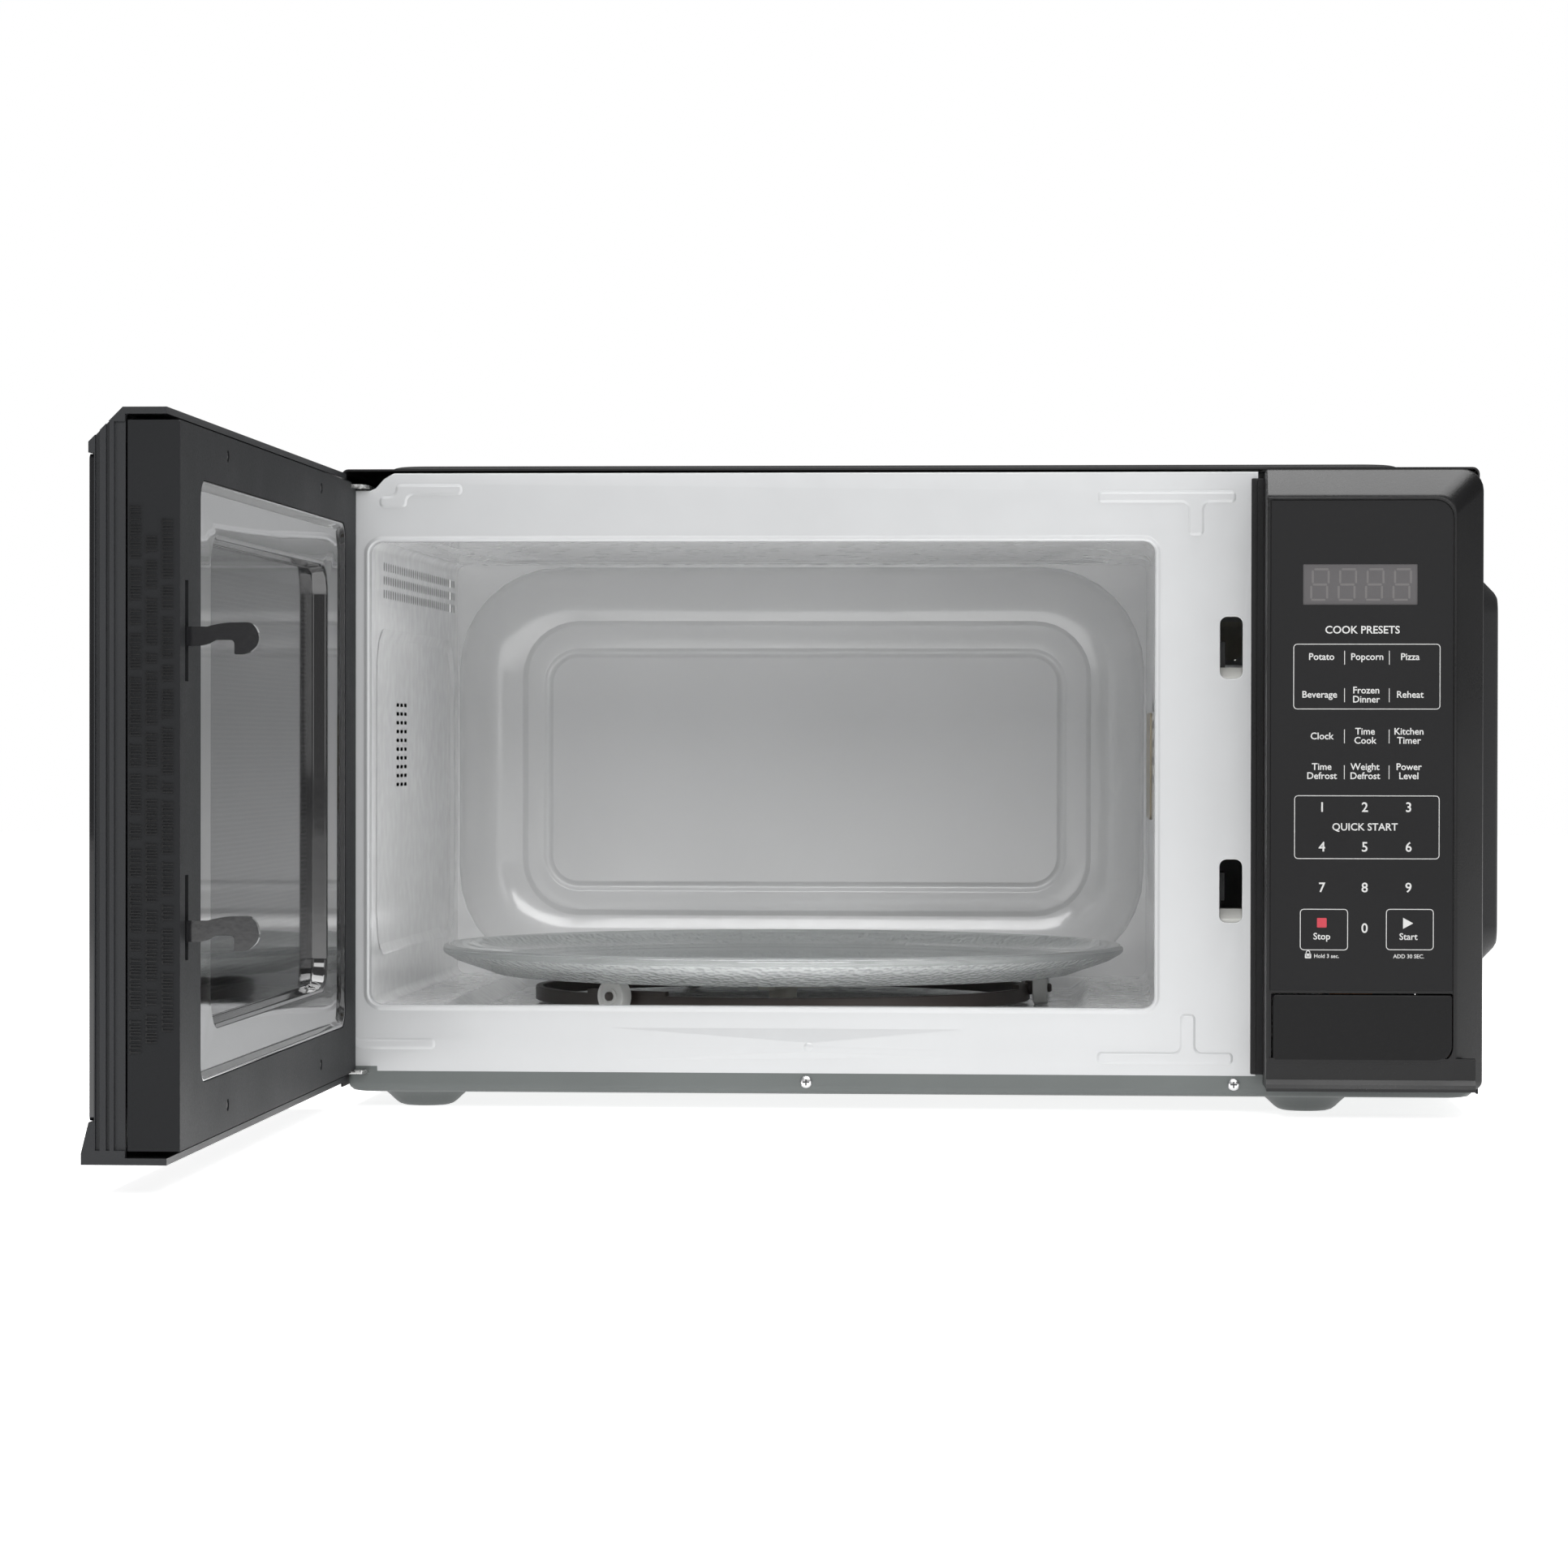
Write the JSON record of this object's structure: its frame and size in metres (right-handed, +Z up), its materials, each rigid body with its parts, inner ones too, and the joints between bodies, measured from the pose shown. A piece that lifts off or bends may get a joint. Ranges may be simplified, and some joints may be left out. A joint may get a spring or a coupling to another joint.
{
  "type": "microwave oven",
  "caption": "Countertop microwave oven with side-hung door, sprung latch hooks, push-button door release, roller turntable, fan and full high-voltage cooking parts.",
  "frame": {"origin": "on the standing surface, under the middle of the box that the oven and its open door fill; the cabinet's middle is 8 mm towards +X and its front plate is at y = 22.5 mm", "axes": "+X to the right seen from the front, +Y from the front plate towards the rear panel, +Z up; the door stands open at 90 degrees"},
  "size_m": [0.5255, 0.748, 0.2787],
  "materials": {
    "cabinet_paint": "satin powder coat",
    "base_paint": "satin",
    "rear_steel": "galvanised",
    "enamel": "glossy enamel",
    "cavity_enamel": "semi-gloss enamel",
    "screw_steel": "bright zinc",
    "hinge_zinc": "bright zinc",
    "bumper_rubber": "matt",
    "panel_plastic": "fine satin",
    "keypad_film": "satin film",
    "display_tint": "smoked",
    "circuit_board": "solder mask",
    "grey_plastic": "moulded",
    "switch_plastic": "moulded",
    "galvanised": "galvanised",
    "mica": "pearly sheet",
    "magnet_ferrite": "matt",
    "fin_aluminium": "bare",
    "core_steel": "varnished laminations",
    "winding": "varnished wire",
    "can_aluminium": "drawn can",
    "black_epoxy": "gloss",
    "duct_plastic": "moulded",
    "motor_steel": "stamped",
    "fan_plastic": "moulded",
    "lamp_glass": "clear",
    "lamp_ceramic": "glazed",
    "filter_resin": "board",
    "fuse_glass": "clear",
    "coupler_plastic": "moulded",
    "tray_glass": "clear pressed",
    "ring_plastic": "moulded",
    "roller_plastic": "smooth",
    "button_plastic": "satin",
    "lever_plastic": "acetal",
    "door_plastic": "satin charcoal",
    "door_window_glass": "tinted gloss",
    "trim_plastic": "satin charcoal",
    "panel_enamel": "high gloss black",
    "screen_metal": "perforated",
    "inner_film": "clear film",
    "door_screw": "black",
    "hook_plastic": "gloss black",
    "spring_steel": "bright wire"
  },
  "bodies": {
    "cabinet": {"outer_wrapper": "cabinet_paint", "base_pan": "base_paint", "rear_panel": "rear_steel", "front_frame": "enamel", "latch_strip": "enamel", "cavity_shell": "cavity_enamel", "cavity_back": "cavity_enamel", "wrapper_screws": "screw_steel", "front_screws": "screw_steel", "rear_bumpers": "bumper_rubber", "upper_hinge": "hinge_zinc", "lower_hinge": "hinge_zinc", "control_frame": "panel_plastic", "keypad_membrane": "keypad_film", "display_window": "display_tint", "control_board": "circuit_board", "latch_board": "grey_plastic", "interlock_switches": "switch_plastic", "waveguide": "galvanised", "waveguide_cover": "mica", "magnetron_yoke": "galvanised", "magnetron_magnets": "magnet_ferrite", "magnetron_core": "fin_aluminium", "transformer_core": "core_steel", "transformer_windings": "winding", "hv_capacitor": "can_aluminium", "capacitor_clamp": "galvanised", "hv_diode": "black_epoxy", "fan_shroud": "duct_plastic", "fan_motor": "motor_steel", "air_duct": "duct_plastic", "oven_lamp": "lamp_glass", "lamp_holder": "lamp_ceramic", "thermal_cutout": "switch_plastic", "turntable_motor": "motor_steel", "motor_cover": "base_paint", "filter_board": "filter_resin", "line_fuse": "fuse_glass", "cord_bushing": "bumper_rubber"},
    "fan": {"fan_rotor": "fan_plastic"},
    "turntable_drive": {"drive_coupler": "coupler_plastic"},
    "tray": {"glass_tray": "tray_glass"},
    "ring": {"roller_ring": "ring_plastic"},
    "roller_a": {"roller_a": "roller_plastic"},
    "roller_b": {"roller_b": "roller_plastic"},
    "roller_c": {"roller_c": "roller_plastic"},
    "release_button": {"release_button": "button_plastic"},
    "release_lever": {"release_lever": "lever_plastic"},
    "door": {"door_shell": "door_plastic", "door_glass": "door_window_glass", "door_inner_frame": "trim_plastic", "door_panel": "panel_enamel", "door_screen": "screen_metal", "door_film": "inner_film", "door_screws": "door_screw", "latch_spring": "spring_steel"},
    "door_latch": {"latch_hooks": "hook_plastic"}
  },
  "joints": [
    {"name": "door_hinge", "type": "hinge", "parent": "cabinet", "child": "door", "pos_m": [-0.232, 0.0175, 0.14], "axis": [0, 0, -1], "range_deg": [-90, 15]},
    {"name": "latch_lift", "type": "slide", "parent": "door", "child": "door_latch", "axis": [0, 0, 1], "range_m": [0, 0.005], "stiffness_N_per_m": 180, "springref_m": -0.006, "deforming": ["latch_spring"]},
    {"name": "release_press", "type": "hinge", "parent": "cabinet", "child": "release_button", "pos_m": [0.2, -0.0065, 0.05], "axis": [1, 0, 0], "range_deg": [0, 10], "stiffness_Nm_per_rad": 0.25, "springref_deg": -6.88},
    {"name": "release_lift", "type": "hinge", "parent": "cabinet", "child": "release_lever", "pos_m": [0.165, 0.0145, 0.055], "axis": [1, 0, 0], "range_deg": [0, 8]},
    {"name": "turntable_spin", "type": "hinge", "parent": "cabinet", "child": "turntable_drive", "pos_m": [-0.0545, 0.1845, 0], "axis": [0, 0, 1], "continuous": true},
    {"name": "tray_lift", "type": "slide", "parent": "turntable_drive", "child": "tray", "axis": [0, 0, 1], "range_m": [0, 0.05]},
    {"name": "ring_spin", "type": "hinge", "parent": "cabinet", "child": "ring", "pos_m": [-0.0545, 0.1845, 0], "axis": [0, 0, 1], "continuous": true},
    {"name": "fan_spin", "type": "hinge", "parent": "cabinet", "child": "fan", "pos_m": [0.184, 0.3275, 0.158], "axis": [0, 1, 0], "continuous": true},
    {"name": "roller_a_spin", "type": "hinge", "parent": "ring", "child": "roller_a", "pos_m": [0.06504, 0.17404, 0.0455], "axis": [0.9962, -0.0872, 0], "continuous": true},
    {"name": "roller_b_spin", "type": "hinge", "parent": "ring", "child": "roller_b", "pos_m": [-0.10521, 0.29326, 0.0455], "axis": [-0.4226, 0.9063, 0], "continuous": true},
    {"name": "roller_c_spin", "type": "hinge", "parent": "ring", "child": "roller_c", "pos_m": [-0.12333, 0.0862, 0.0455], "axis": [-0.5736, -0.8192, 0], "continuous": true}
  ],
  "couplings": [
    {"joint": "release_lift", "follows": "release_press", "ratio": 0.8},
    {"joint": "ring_spin", "follows": "turntable_spin", "ratio": 0.5},
    {"joint": "roller_a_spin", "follows": "turntable_spin", "ratio": -8},
    {"joint": "roller_b_spin", "follows": "turntable_spin", "ratio": -8},
    {"joint": "roller_c_spin", "follows": "turntable_spin", "ratio": -8}
  ]
}
